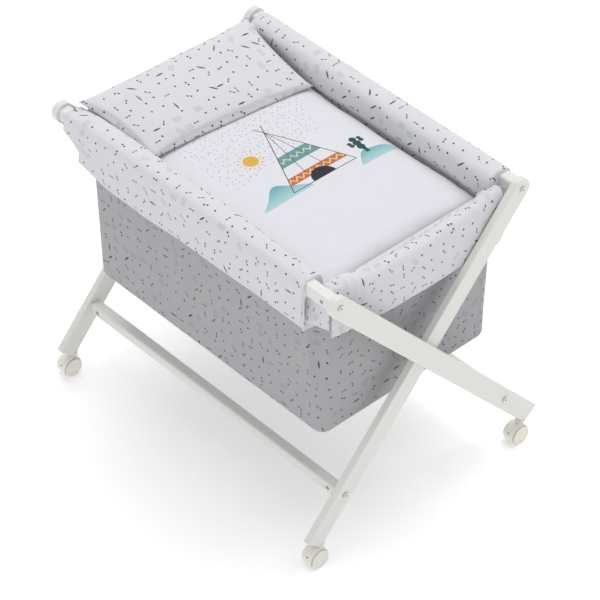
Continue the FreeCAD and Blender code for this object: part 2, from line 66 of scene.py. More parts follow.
# ------------------------------------------------------------------ material graphs
class Graph:
    """A material's node tree, with short ways to add math."""

    def __init__(self, name, color, roughness, **settings):
        self.material = bpy.data.materials.new(name)
        self.material.use_nodes = True
        self.tree = self.material.node_tree
        self.tree.nodes.clear()
        self.shader = self.node("ShaderNodeBsdfPrincipled")
        output = self.node("ShaderNodeOutputMaterial")
        self.link(self.shader.outputs["BSDF"], output.inputs["Surface"])
        self.shader.inputs["Base Color"].default_value = (*color, 1)
        self.shader.inputs["Roughness"].default_value = roughness
        for key, value in settings.items():
            self.shader.inputs[key.replace("_", " ")].default_value = value

    def node(self, kind, **props):
        made = self.tree.nodes.new(kind)
        for key, value in props.items():
            setattr(made, key, value)
        return made

    def link(self, start, end):
        self.tree.links.new(start, end)

    def feed(self, value, socket):
        if isinstance(value, bpy.types.NodeSocket):
            self.link(value, socket)
        else:
            socket.default_value = value

    def math(self, operation, *values, clamp=False):
        made = self.node("ShaderNodeMath", operation=operation, use_clamp=clamp)
        for value, socket in zip(values, made.inputs):
            self.feed(value, socket)
        return made.outputs[0]

    def vector(self, operation, *values):
        made = self.node("ShaderNodeVectorMath", operation=operation)
        for value, socket in zip(values, made.inputs):
            self.feed(value, socket)
        return made.outputs["Vector"]

    def linear(self, vector, a, b, c=0.0):
        """a*x + b*y + c of a vector socket."""
        made = self.node("ShaderNodeVectorMath", operation="DOT_PRODUCT")
        self.link(vector, made.inputs[0])
        made.inputs[1].default_value = (a, b, 0)
        return self.math("ADD", made.outputs["Value"], c)

    def above(self, value, limit, soft=0.0):
        """1 where value is over limit; soft gives the edge a width."""
        if not soft:
            return self.math("GREATER_THAN", value, limit)
        return self.math("MULTIPLY_ADD", self.math("SUBTRACT", value, limit), 1 / soft, 0.5,
                         clamp=True)

    def below(self, value, limit, soft=0.0):
        return self.math("SUBTRACT", 1.0, self.above(value, limit, soft))

    def all(self, *masks):
        mask = masks[0]
        for other in masks[1:]:
            mask = self.math("MULTIPLY", mask, other)
        return mask

    def any(self, *masks):
        mask = masks[0]
        for other in masks[1:]:
            mask = self.math("MAXIMUM", mask, other)
        return mask

    def split(self, vector):
        made = self.node("ShaderNodeSeparateXYZ")
        self.link(vector, made.inputs[0])
        return made.outputs[0], made.outputs[1], made.outputs[2]

    def join(self, x, y, z=0.0):
        made = self.node("ShaderNodeCombineXYZ")
        for value, socket in zip((x, y, z), made.inputs):
            self.feed(value, socket)
        return made.outputs[0]

    def mix(self, mask, under, over):
        made = self.node("ShaderNodeMix", data_type="RGBA")
        self.feed(mask, made.inputs["Factor"])
        for value, socket in ((under, made.inputs[6]), (over, made.inputs[7])):
            if isinstance(value, tuple):
                value = (*value, 1)
            self.feed(value, socket)
        return made.outputs[2]

    def noise(self, vector, scale, detail=3.0, rough=0.5):
        made = self.node("ShaderNodeTexNoise")
        self.link(vector, made.inputs["Vector"])
        made.inputs["Scale"].default_value = scale
        made.inputs["Detail"].default_value = detail
        made.inputs["Roughness"].default_value = rough
        return made.outputs["Fac"]

    def place(self):
        """The point in the piece's own space, in metres."""
        return self.node("ShaderNodeTexCoord").outputs["Object"]

    def cloth(self):
        """The point on the flat cloth, in millimetres."""
        uv = self.node("ShaderNodeUVMap", uv_map="Cloth").outputs[0]
        return self.vector("MULTIPLY", uv, (1000, 1000, 0))

    def color(self, socket):
        self.link(socket, self.shader.inputs["Base Color"])

    def bump(self, height, distance, strength=1.0):
        made = self.node("ShaderNodeBump")
        made.inputs["Strength"].default_value = strength
        made.inputs["Distance"].default_value = distance
        self.link(height, made.inputs["Height"])
        self.link(made.outputs[0], self.shader.inputs["Normal"])


def wood(name, turn=0.0, along="X"):
    """White-stained beech with a faint grain along X, or along a board turned about X."""
    g = Graph(name, (0.76, 0.75, 0.72), 0.42, Coat_Weight=0.15, Coat_Roughness=0.3)
    made = g.node("ShaderNodeMapping")
    g.link(g.place(), made.inputs["Vector"])
    made.inputs["Rotation"].default_value = (math.radians(turn), 0, 0)
    stretch = (3, 90, 90) if along == "X" else (90, 90, 3)
    grain = g.vector("MULTIPLY", made.outputs[0], stretch)
    streak = g.noise(grain, 1.0, 5.0, 0.62)
    pore = g.noise(g.vector("MULTIPLY", grain, (3, 3, 3)), 1.0, 2.0)
    tone = g.mix(streak, (0.73, 0.715, 0.68), (0.79, 0.78, 0.75))
    g.color(tone)
    g.bump(g.math("ADD", streak, g.math("MULTIPLY", pore, 0.4)), 0.0004, 0.5)
    return g.material


def plastic(name, color, roughness=0.35):
    g = Graph(name, color, roughness, Subsurface_Weight=0.04)
    cloud = g.noise(g.place(), 60.0, 3.0)
    g.color(g.mix(cloud, tuple(c * 0.94 for c in color), color))
    g.bump(g.noise(g.place(), 1800.0, 2.0), 0.00015, 0.35)
    return g.material


def metal(name):
    g = Graph(name, (0.62, 0.62, 0.61), 0.28, Metallic=1.0)
    scratch = g.noise(g.vector("MULTIPLY", g.place(), (40, 900, 900)), 1.0, 4.0)
    g.link(g.math("MULTIPLY_ADD", scratch, 0.25, 0.18), g.shader.inputs["Roughness"])
    g.bump(scratch, 0.0001, 0.4)
    return g.material


def printed_marks(g, point, seed):
    """Small scattered marks, one in each cell of cloth: masks of all, the rust, the teal, the waves."""
    cell = PRINT_CELL
    shifted = g.vector("ADD", point, (seed * 371.0, seed * 193.0, 0))
    cells = g.node("ShaderNodeTexVoronoi", voronoi_dimensions="2D")
    g.link(g.vector("MULTIPLY", shifted, (1 / cell, 1 / cell, 0)), cells.inputs["Vector"])
    cells.inputs["Scale"].default_value = 1.0
    cells.inputs["Randomness"].default_value = 0.6
    centre = g.vector("MULTIPLY", cells.outputs["Position"], (cell, cell, 0))
    kind, turn, tint = g.split(cells.outputs["Color"])
    spin = g.node("ShaderNodeVectorRotate", rotation_type="Z_AXIS")
    g.link(g.vector("SUBTRACT", shifted, centre), spin.inputs["Vector"])
    g.link(g.math("MULTIPLY", g.math("SNAP", turn, 0.125), 2 * math.pi), spin.inputs["Angle"])
    x, y, _ = g.split(spin.outputs[0])
    wide = g.math("ABSOLUTE", x)
    high = g.math("ABSOLUTE", y)

    def between(low, top):
        return g.all(g.above(kind, low), g.below(kind, top))

    def arrowhead(across, along, tip, length, slope):
        """A triangle pointing along +, with its tip at `tip`."""
        room = g.math("MULTIPLY", g.math("SUBTRACT", tip, along), slope)
        return g.all(g.below(g.math("SUBTRACT", across, room), 0.0, 0.5), g.above(along, tip - length))

    single = arrowhead(wide, y, 2.7, 5.2, 0.6)
    first = arrowhead(g.math("ABSOLUTE", g.math("ADD", x, 3.2)), y, 4.6, 5.0, 0.6)
    second = arrowhead(g.math("ABSOLUTE", g.math("SUBTRACT", x, 2.8)), y, 0.6, 5.0, 0.6)
    shaft = g.all(g.below(high, 0.7, 0.4), g.below(wide, 5.5, 0.4))
    flight = g.all(g.below(high, 1.7, 0.4), g.below(x, -3.4), g.above(x, -6.6),
                   g.above(g.math("FRACT", g.math("MULTIPLY", x, 0.6)), 0.35))
    arrow = g.any(shaft, arrowhead(high, x, 7.4, 4.0, 0.6), flight)
    leaf = g.below(g.math("ADD", g.math("POWER", g.math("DIVIDE", x, 8.5), 2.0),
                          g.math("POWER", g.math("DIVIDE", y, 2.2), 2.0)), 1.0, 0.2)
    vein = g.any(g.below(high, 0.6), g.above(g.math("FRACT", g.math("MULTIPLY", x, 0.5)), 0.3))
    sprig = g.any(g.all(leaf, vein), g.all(g.below(high, 0.6, 0.3), g.below(wide, 10.0)))
    swell = g.math("MULTIPLY", g.math("SINE", g.math("MULTIPLY", x, 1.3)), 0.9)
    rows = g.math("FRACT", g.math("MULTIPLY", g.math("ADD", y, swell), 0.3))
    band = g.below(g.math("ABSOLUTE", g.math("SUBTRACT", rows, 0.5)), 0.24, 0.12)
    waves = g.all(band, g.below(wide, 9.5), g.below(high, 6.0), between(0.80, 0.91))
    marks = g.any(g.all(single, g.below(kind, 0.40)), g.all(g.any(first, second), between(0.40, 0.56)),
                  g.all(arrow, between(0.56, 0.80)), g.all(sprig, g.above(kind, 0.91)))
    rust = g.all(marks, g.above(tint, 0.90))
    teal = g.all(marks, g.below(tint, 0.12))
    return marks, rust, teal, waves


def fabric(name, ground, seed=None, extra=None, stitch=None):
    """Woven cotton. seed adds the small print, extra a print of its own, stitch a line of stitches."""
    g = Graph(name, ground, 0.88, Sheen_Weight=0.12, Sheen_Roughness=0.5, Specular_IOR_Level=0.2)
    point = g.cloth()
    x, y, _ = g.split(point)
    tone = g.mix(g.noise(point, 0.02, 3.0), tuple(c * 0.97 for c in ground), ground)
    if seed is not None:
        marks, rust, teal, waves = printed_marks(g, point, seed)
        tone = g.mix(waves, tone, tuple(c * 0.74 for c in ground))
        tone = g.mix(marks, tone, INK)
        tone = g.mix(rust, tone, RUST)
        tone = g.mix(teal, tone, TEAL)
    if extra:
        tone = extra(g, point, tone)
    relief = g.math("MULTIPLY", g.noise(point, 0.035, 4.0, 0.55), 6.0)
    if stitch is not None:
        beside = g.math("ABSOLUTE", g.math("SUBTRACT", y, stitch))
        thread = g.all(g.below(beside, 0.5, 0.4),
                       g.below(g.math("FRACT", g.math("MULTIPLY", x, 0.28)), 0.68, 0.1))
        tone = g.mix(thread, tone, tuple(c * 0.82 for c in ground))
        groove = g.below(beside, 1.6, 2.4)
        relief = g.math("SUBTRACT", relief, g.math("MULTIPLY", groove, 6.0))
    g.color(tone)
    warp = g.math("SINE", g.math("MULTIPLY", x, 2 * math.pi / THREAD_PITCH))
    weft = g.math("SINE", g.math("MULTIPLY", y, 2 * math.pi / THREAD_PITCH))
    g.bump(g.math("ADD", g.math("MULTIPLY", warp, weft), relief), WEAVE_DEPTH, 0.8)
    return g.material


# ------------------------------------------------------------------ mesh helpers
def mesh_object(name, points, faces, cloth=None):
    """A smooth mesh from points in metres; cloth gives each point's place on the flat cloth."""
    mesh = bpy.data.meshes.new(name)
    mesh.from_pydata([tuple(p) for p in points], [], faces)
    mesh.update()
    for polygon in mesh.polygons:
        polygon.use_smooth = True
    if cloth:
        layer = mesh.uv_layers.new(name="Cloth")
        for loop in mesh.loops:
            layer.data[loop.index].uv = cloth[loop.vertex_index]
    made = bpy.data.objects.new(name, mesh)
    scene.collection.objects.link(made)
    return made


def grid_faces(rows, columns, wrap=False, start=0, flip=False):
    faces = []
    for i in range(rows - 1):
        for j in range(columns if wrap else columns - 1):
            k = (j + 1) % columns
            quad = [start + i * columns + j, start + (i + 1) * columns + j,
                    start + (i + 1) * columns + k, start + i * columns + k]
            faces.append(quad[::-1] if flip else quad)
    return faces


def resample(points, count, closed=False):
    """Evenly spaced points on a smooth curve through the given ones, in any dimension."""
    pts = [Vector(p) for p in points]
    n = len(pts)
    dense = []
    for i in range(n if closed else n - 1):
        a, b, c, d = (pts[(i + k) % n] if closed else pts[min(max(i + k, 0), n - 1)]
                      for k in (-1, 0, 1, 2))
        for s in range(16):
            t = s / 16
            dense.append(0.5 * ((2 * b) + (c - a) * t + (2 * a - 5 * b + 4 * c - d) * t * t
                                + (3 * b - a - 3 * c + d) * t ** 3))
    dense.append(pts[0].copy() if closed else pts[-1].copy())
    lengths = [0.0]
    for p, q in zip(dense, dense[1:]):
        lengths.append(lengths[-1] + (q - p).length)
    result = []
    k = 0
    for i in range(count):
        target = lengths[-1] * i / (count if closed else count - 1)
        while k < len(lengths) - 2 and lengths[k + 1] < target:
            k += 1
        span = lengths[k + 1] - lengths[k] or 1
        result.append(dense[k].lerp(dense[k + 1], (target - lengths[k]) / span))
    return result


def ripple(p, size, seed, stretch=(1, 1, 1)):
    """Smooth noise from -1 to 1 with features of about `size` metres."""
    q = Vector((p[0] * stretch[0], p[1] * stretch[1], p[2] * stretch[2])) / size
    return noise.noise(q + Vector((seed * 17.3, seed * 5.1, seed * 9.7)))


def crease(obj, size, depth, seed, stretch=(1, 1, 1), keep=None):
    """Moves vertices along their normals by smooth noise."""
    normals = [v.normal.copy() for v in obj.data.vertices]
    for v, n in zip(obj.data.vertices, normals):
        share = keep(v.co) if keep else 1.0
        v.co += n * ripple(v.co, size, seed, stretch) * depth * share


def face_outward(obj):
    """Turns the faces of a closed mesh to point outwards, once its shape is final."""
    work = bmesh.new()
    work.from_mesh(obj.data)
    bmesh.ops.recalc_face_normals(work, faces=work.faces)
    work.to_mesh(obj.data)
    work.free()


def dress(obj, body, material, slot, *replaced):
    """Finishes a piece: its faces, material, body and the CAD nodes that it stands for. slot is not used.
    """
    face_outward(obj)
    obj.data.materials.append(material)
    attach(obj, body)
    if replaced:
        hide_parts(*replaced)
    return obj


def inflate(obj, pressure, cap, pinned=None, frames=20):
    """Cloth simulation with air pressure inside, applied to the mesh and capped."""
    stiffness = 12.0
    start = [v.co.copy() for v in obj.data.vertices]
    cloth = obj.modifiers.new("Cloth", "CLOTH")
    settings = cloth.settings
    settings.quality = 6
    settings.mass = 0.25
    settings.tension_stiffness = stiffness
    settings.compression_stiffness = stiffness
    settings.shear_stiffness = stiffness * 0.4
    settings.bending_stiffness = 0.6
    settings.use_pressure = True
    settings.uniform_pressure_force = pressure
    settings.effector_weights.gravity = 0
    cloth.collision_settings.use_collision = False
    if pinned:
        held = obj.vertex_groups.new(name="Held")
        for v in obj.data.vertices:
            held.add([v.index], pinned(v.co), "REPLACE")
        settings.vertex_group_mass = "Held"
    for number in range(1, frames + 1):
        scene.frame_set(number)
    shaped = obj.evaluated_get(bpy.context.evaluated_depsgraph_get())
    moved = [v.co.copy() for v in shaped.data.vertices]
    obj.modifiers.remove(cloth)
    scene.frame_set(1)
    for v, before, after in zip(obj.data.vertices, start, moved):
        step = after - before
        if step.length > cap:
            step *= cap / step.length
        v.co = before + step
    obj.data.update()


def closed_tube(name, path, radius, sides=8):
    """A thin piping round a level closed path."""
    points = []
    n = len(path)
    for i, p in enumerate(path):
        along = (Vector(path[(i + 1) % n]) - Vector(path[i - 1])).normalized()
        side = along.cross(Vector((0, 0, 1))).normalized()
        up = side.cross(along)
        for k in range(sides):
            a = 2 * math.pi * k / sides
            points.append(Vector(p) + side * math.cos(a) * radius + up * math.sin(a) * radius)
    faces = grid_faces(n, sides, wrap=True)
    last = (n - 1) * sides
    faces += [[last + k, k, (k + 1) % sides, last + (k + 1) % sides] for k in range(sides)]
    cloth = [((i // sides) * 0.005, (i % sides) * 0.002) for i in range(len(points))]
    return mesh_object(name, points, faces, cloth)


# ------------------------------------------------------------------ frame, fittings and casters
rail_lo, rail_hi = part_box("rail_front")
RAIL_Y = (rail_lo.y + rail_hi.y) / 2
RAIL_Z = (rail_lo.z + rail_hi.z) / 2
LEG_LEAN = 41.76  # degrees from upright

along_x = wood("wood_bars")
outer_lean = wood("wood_outer_legs", turn=-LEG_LEAN, along="Z")
inner_lean = wood("wood_inner_legs", turn=LEG_LEAN, along="Z")
zinc = metal("zinc")
cream = plastic("cream_plastic", (0.88, 0.85, 0.77))
tread = plastic("cream_tread", (0.86, 0.83, 0.75), 0.5)
# near-black plastic: painted shade for the screw hole in each caster hood
painted_hole_shade = plastic("screw_hole_painted_shade", (0.06, 0.055, 0.05), 0.6)
for name, node in nodes.items():
    if "leg" in name:
        material = outer_lean if name.startswith("outer") else inner_lean
    elif name.startswith(("rail", "stretcher")):
        material = along_x
    elif name.endswith(("bolts", "nuts", "inserts", "washers", "_stem", "_axle")):
        material = zinc
    elif "_wheel_" in name:
        material = tread
    else:
        material = cream
    node.data.materials.clear()
    node.data.materials.append(material)


SHARP_EDGE = math.radians(38)


def turned(name, profile, place, steps=40):
    """A closed solid of revolution; profile is (along, radius) in mm, place puts +Z along its axis."""
    points, cloth = [], []
    for k, (along, radius) in enumerate(profile):
        for i in range(steps):
            a = 2 * math.pi * i / steps
            points.append(place @ (Vector((math.cos(a) * radius, math.sin(a) * radius, along)) * MM))
            cloth.append((radius * i / steps * MM, k * 0.001))
    faces = grid_faces(len(profile), steps, wrap=True, flip=True)
    faces.append(list(range(steps))[::-1])
    faces.append([(len(profile) - 1) * steps + i for i in range(steps)])
    made = mesh_object(name, points, faces, cloth)
    made.data.set_sharp_from_angle(angle=SHARP_EDGE)
    return made


WHEEL_INNER = 5.3  # mm from the caster's middle, as are the first numbers below
WHEEL_PROFILE = [(WHEEL_INNER, 0.5), (WHEEL_INNER, 20.8), (5.6, 21.5), (6.4, 22.0), (11.9, 22.0),
                 (12.5, 21.5), (12.8, 19.4), (14.3, 19.4), (14.6, 21.5), (15.2, 22.0), (16.4, 21.9),
                 (17.5, 21.3), (18.0, 20.2), (17.9, 19.0), (17.3, 18.3), (16.9, 17.4), (17.0, 7.6),
                 (17.4, 6.8), (17.9, 6.2), (17.9, 0.5)]
HOOD_RADIUS = 24  # mm
HOLE_LEAN = math.radians(68)  # from upright, towards the caster's trailing side
HOLE_PROFILE = [(-1.2, 0.1), (-1.2, 1.9), (0.15, 1.9), (0.15, 0.1)]


def caster(word):
    """Detailed wheels with a groove beside the hood, and a near-black disc on the hood's back, painted
    shade for its screw hole.
    """
    name = f"caster_{word}"
    for tag, end in (("head_side", -1), ("foot_side", 1)):
        node = f"{name}_wheel_{tag}"
        lo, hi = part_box(node)
        middle = (hi.x if end < 0 else lo.x) - end * WHEEL_INNER * MM
        centre = Vector((middle, (lo.y + hi.y) / 2, (lo.z + hi.z) / 2))
        across = Matrix.Rotation(end * math.pi / 2, 4, "Y")
        wheel = turned(f"{name}_tyre_{tag}", WHEEL_PROFILE, Matrix.Translation(centre) @ across)
        dress(wheel, f"{name}_wheels", tread, "wheel", node)
    lo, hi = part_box(f"{name}_hood")
    wheel_lo, wheel_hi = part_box(f"{name}_wheel_foot_side")
    axle = Vector(((lo.x + hi.x) / 2, (wheel_lo.y + wheel_hi.y) / 2, (wheel_lo.z + wheel_hi.z) / 2))
    lean = Matrix.Rotation(HOLE_LEAN, 4, "X")
    skin = Matrix.Translation((0, 0, HOOD_RADIUS * MM))
    # a thin near-black disc on the hood's skin: painted shade in place of a recessed screw hole
    hole = turned(f"{name}_screw_hole_painted_shade", HOLE_PROFILE, Matrix.Translation(axle) @ lean @ skin, 20)
    dress(hole, f"{name}_fork", painted_hole_shade, "caster_plastic")


for place_name in ("foot_back", "head_back", "foot_front", "head_front"):
    caster(place_name)


# ------------------------------------------------------------------ shared cloths
print_white = fabric("cotton_white_print", WHITE_CLOTH, seed=1)
print_pillow = fabric("cotton_white_print_pillow", WHITE_CLOTH, seed=4)
print_grey = fabric("cotton_grey_print", GREY_CLOTH, seed=5)
plain_white = fabric("cotton_white", WHITE_CLOTH)


# ------------------------------------------------------------------ padded side bands
def side_band(name, side, x0, x1, flap0, hem, body, node):
    """Cloth that wraps a top rail, is padded on its inner side and hangs as a valance outside.

    side is -1 at the front and +1 at the back. Profiles are (outward, up) from the rail's axis.
    """
    inner = [(-36, -46), (-43, -30), (-45, -12), (-41, 6), (-30, 18), (-14, 23), (3, 22)]
    outer = [(14, 17), (19, 6), (21, -14), (23, -40), (26, -70), (27.5, -88), (24.5, -91),
             (21.5, -88), (20, -70), (18, -40), (16.5, -20)]
    turning_room = 3.2 if side > 0 else 0.0
    under = [(6, -17 - turning_room), (-10, -18 - turning_room), (-24, -30)]
    profile = inner + outer + under
    count = 84
    steps = 96
    points, cloth = [], []
    loop = resample([(o, h, 0) for o, h in profile], count, closed=True)
    girth = [0.0]
    for a, b in zip(loop, loop[1:]):
        girth.append(girth[-1] + (b - a).length * MM)
    for i in range(steps):
        share = i / (steps - 1)
        x = x0 + (x1 - x0) * share
        to_end = min((x - x0), (x1 - x))
        snug = 1 - (0.55 if side < 0 else 0.25) * math.exp(-(to_end / 0.030) ** 2)
        for j, q in enumerate(loop):
            o, h = q.x, q.y
            if h > 14.5:
                h = 14.5 + (h - 14.5) * snug
            if o < -16:
                o = -16 + (o + 16) * (0.55 + 0.45 * snug)
            flap = max(0.0, -h - 22) if o > 12 else 0.0
            px = x
            if flap:
                inset0 = (flap0 - x0) * min(1.0, flap / 30)
                px = x0 + inset0 + (x1 - x0 - inset0) * share
                lift = hem(px)
                h = -22 - flap * (1 - lift)
                wave = ripple((px, 0, 0), 0.13, 3 + side) * 5 + ripple((px, 0, 0), 0.05, 7) * 1.4
                o += wave * (flap / 66) ** 1.3
            points.append((px, side * (abs(RAIL_Y) + o * MM), RAIL_Z + h * MM))
            cloth.append((x, girth[j]))
    faces = grid_faces(steps, count, wrap=True, flip=side > 0)
    ends = [list(range(count)), [(steps - 1) * count + j for j in range(count)][::-1]]
    faces += ends if side < 0 else [e[::-1] for e in ends]
    band = mesh_object(name, points, faces, cloth)
    for polygon in band.data.polygons[-2:]:
        polygon.use_smooth = False

    def padded_side(p):
        depth = (abs(RAIL_Y) + 0.010 - abs(p.y)) / 0.02
        return max(0.0, min(1.0, depth)) * max(0.0, min(1.0, (p.z - RAIL_Z + 0.045) / 0.02))

    crease(band, 0.075, 0.0030, 11 + side, (0.8, 1, 1), padded_side)
    crease(band, 0.022, 0.0009, 13 + side, (1, 0.7, 0.7), padded_side)
    inflate(band, 1.6, 0.006, pinned=lambda p: 1 - 0.9 * padded_side(p), frames=14)
    hem_at = girth[min(range(count), key=lambda j: loop[j].y)] / MM
    material = fabric(f"cotton_{name}", WHITE_CLOTH, seed=2 + side, stitch=hem_at - STITCH_FROM_HEM)
    dress(band, body, material, "bumper_fabric", node)
    return band


def front_hem(x):
    return 0.22 * max(0.0, min(1.0, (-0.245 - x) / 0.09)) ** 1.5


def back_hem(x):
    return 0.10 * max(0.0, min(1.0, (-0.25 - x) / 0.09))


front_lo, front_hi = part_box("front_bumper")
rear_lo, rear_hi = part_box("back_bumper")
front_band = side_band("front_band", -1, front_lo.x, front_hi.x, -0.336, front_hem,
                       "outer_frame", "front_bumper")
back_band = side_band("back_band", 1, rear_lo.x, rear_hi.x, -0.336, back_hem,
                      "back_band", "back_bumper")


# ------------------------------------------------------------------ end bumpers
def end_band(name, end, front_y, back_y, ridge, hem, node):
    """The padded wall across an end: soft roll on top, a flap outside that hangs to the hem."""
    lo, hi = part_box(node)
    out_x = hi.x if end > 0 else lo.x
    profile = [(-44, -42), (-47, -26), (-44, -9), (-34, 3), (-21, 7), (-10, 2), (-4, -9), (-1.8, -24),
               (-1, -44), (-1, -75), (-1, -108), (-2.2, -112), (-3.6, -108), (-4, -75),
               (-5, -45), (-12, -38), (-28, -44)]
    count = 64
    steps = 140
    loop = resample([(o, h, 0) for o, h in profile], count, closed=True)
    girth = [0.0]
    for a, b in zip(loop, loop[1:]):
        girth.append(girth[-1] + (b - a).length * MM)
    points, cloth = [], []
    for i in range(steps):
        share = i / (steps - 1)
        y = front_y + (back_y - front_y) * share
        for j, q in enumerate(loop):
            o, h = q.x, q.y
            top = ridge(share)
            z = top + h * MM
            if h < -30 and o > -8:
                fall = min(1.0, (-h - 30) / 80)
                z = top - 0.030 - fall * (top - 0.030 - hem(share))
                o += ripple((0, y, 0), 0.12, 21 + end) * 3 * fall - abs(ripple((0, y, 0), 0.06, 5)) * fall
            points.append((out_x + end * min(0.0, o) * MM, y, z))
            cloth.append((y, girth[j]))
    faces = grid_faces(steps, count, wrap=True, flip=end > 0)
    ends = [list(range(count)), [(steps - 1) * count + j for j in range(count)][::-1]]
    faces += ends if end < 0 else [e[::-1] for e in ends]
    band = mesh_object(name, points, faces, cloth)

    def padded_top(p):
        inward = (out_x - p.x) * end
        return max(0.0, min(1.0, (inward - 0.004) / 0.01))

    def gathers(p):
        corner = min((p.y - front_y), (back_y - p.y))
        return math.exp(-(corner / 0.095) ** 2) * (0.45 + 0.55 * padded_top(p))

    crease(band, 0.015, 0.0062, 31 + end, (0.3, 1, 0.3), gathers)
    crease(band, 0.05, 0.0036, 33 + end, (1, 1, 1), padded_top)
    inflate(band, 1.6, 0.006, pinned=lambda p: 1 - 0.9 * padded_top(p), frames=14)
    hem_at = girth[min(range(count), key=lambda j: loop[j].y)] / MM
    material = fabric(f"cotton_{name}", WHITE_CLOTH, seed=7 + end, stitch=hem_at - STITCH_FROM_HEM)
    dress(band, "outer_frame", material, "bumper_fabric", node)
    return band


def foot_ridge(share):
    return 0.700 - 0.034 * math.sin(math.pi * min(1.0, share * 1.02)) ** 0.8 - 0.012 * share


def foot_hem(share):
    rise = max(0.0, (share - 0.78) / 0.22)
    return 0.578 - 0.020 * min(1.0, share / 0.35) + 0.075 * rise ** 1.6


foot_lo, foot_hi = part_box("foot_bumper")
head_lo, head_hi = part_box("head_bumper")
foot_band = end_band("foot_band", 1, foot_lo.y, foot_hi.y - 0.002, foot_ridge, foot_hem, "foot_bumper")
head_band = end_band("head_band", -1, head_lo.y + 0.002, head_hi.y - 0.002,
                     lambda s: 0.698 - 0.012 * math.sin(math.pi * s),
                     lambda s: 0.576 - 0.012 * math.sin(math.pi * s), "head_bumper")


def corner_cloth(name, path, top, bottom, thickness, seed):
    """A hanging strip of the foot band's cloth along a plan path, closed and softly rippled."""
    count, rows = 60, 30
    line = resample([(x, y, 0) for x, y in path], count)
    side = []
    for i in range(count):
        along = (line[min(i + 1, count - 1)] - line[max(i - 1, 0)]).normalized()
        side.append(Vector((-along.y, along.x, 0)))
    points, cloth = [], []
    for i in range(count):
        for face in (-0.5, 0.5):
            steps = range(rows) if face < 0 else range(rows - 1, -1, -1)
            for k in steps:
                z = top + (bottom - top) * k / (rows - 1)
                wave = ripple((line[i].x, line[i].y, z * 0.35), 0.014, seed) * 0.0022 * (0.3 + k / rows)
                p = line[i] + side[i] * (face * thickness + wave)
                points.append((p.x, p.y, z))
                cloth.append((i / count * 0.1, z))
    faces = grid_faces(count, 2 * rows, wrap=True)
    faces += [list(range(2 * rows)), [(count - 1) * 2 * rows + j for j in range(2 * rows)][::-1]]
    made = mesh_object(name, points, faces, cloth)
    dress(made, "outer_frame", print_white, "bumper_fabric")
    return made


panel_z = RAIL_Z - 0.5 * (rail_hi.z - rail_lo.z) - 0.003
corner_panel = corner_cloth("foot_corner_panel",
                            [(0.333, -0.262), (0.350, -0.258), (0.366, -0.252), (0.3815, -0.246)],
                            panel_z, 0.598, 0.0024, 71)
corner_pleat = corner_cloth("foot_corner_pleat",
                            [(0.3325, -0.240), (0.3300, -0.258), (0.3285, -0.268), (0.3265, -0.256),
                             (0.3225, -0.242)], panel_z, 0.575, 0.0022, 73)


# ------------------------------------------------------------------ basket
def rounded_outline(half_x, half_y, radius, count):
    """Evenly spaced (x, y) round a rectangle with round corners, from the middle of the +X side."""
    path = []
    for cx, cy, start in ((1, 1, 0), (-1, 1, 90), (-1, -1, 180), (1, -1, 270)):
        for k in range(13):
            a = math.radians(start + 7.5 * k)
            path.append((cx * (half_x - radius) + radius * math.cos(a),
                         cy * (half_y - radius) + radius * math.sin(a)))
    total = [0.0]
    ring = path + [path[0]]
    for p, q in zip(ring, ring[1:]):
        total.append(total[-1] + math.dist(p, q))
    result = []
    k = 0
    for i in range(count):
        target = total[-1] * i / count
        while total[k + 1] < target:
            k += 1
        t = (target - total[k]) / ((total[k + 1] - total[k]) or 1)
        result.append((ring[k][0] + (ring[k + 1][0] - ring[k][0]) * t,
                       ring[k][1] + (ring[k + 1][1] - ring[k][1]) * t))
    return result, total[-1]


shell_lo, shell_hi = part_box("basket_shell")
SHELL_TAPER = (0.004, 0.005)


def gathered(x, y, z, room=0.0):
    """Draws a point in where the basket is gathered, at its foot-front corner, by the front band's end."""
    share = (z - shell_lo.z) / (shell_hi.z - shell_lo.z)
    half_x = shell_hi.x - SHELL_TAPER[0] * (1 - share)
    half_y = shell_hi.y - SHELL_TAPER[1] * (1 - share)
    spare = 2.0 - room - 0.15 * min(1.0, max(0.0, (z - shell_lo.z) / 0.30)) ** 0.8
    reach = x / half_x - y / half_y
    if x > 0 > y and reach > spare:
        return x * (1 - (reach - spare) / 2), y * (1 - (reach - spare) / 2)
    return x, y


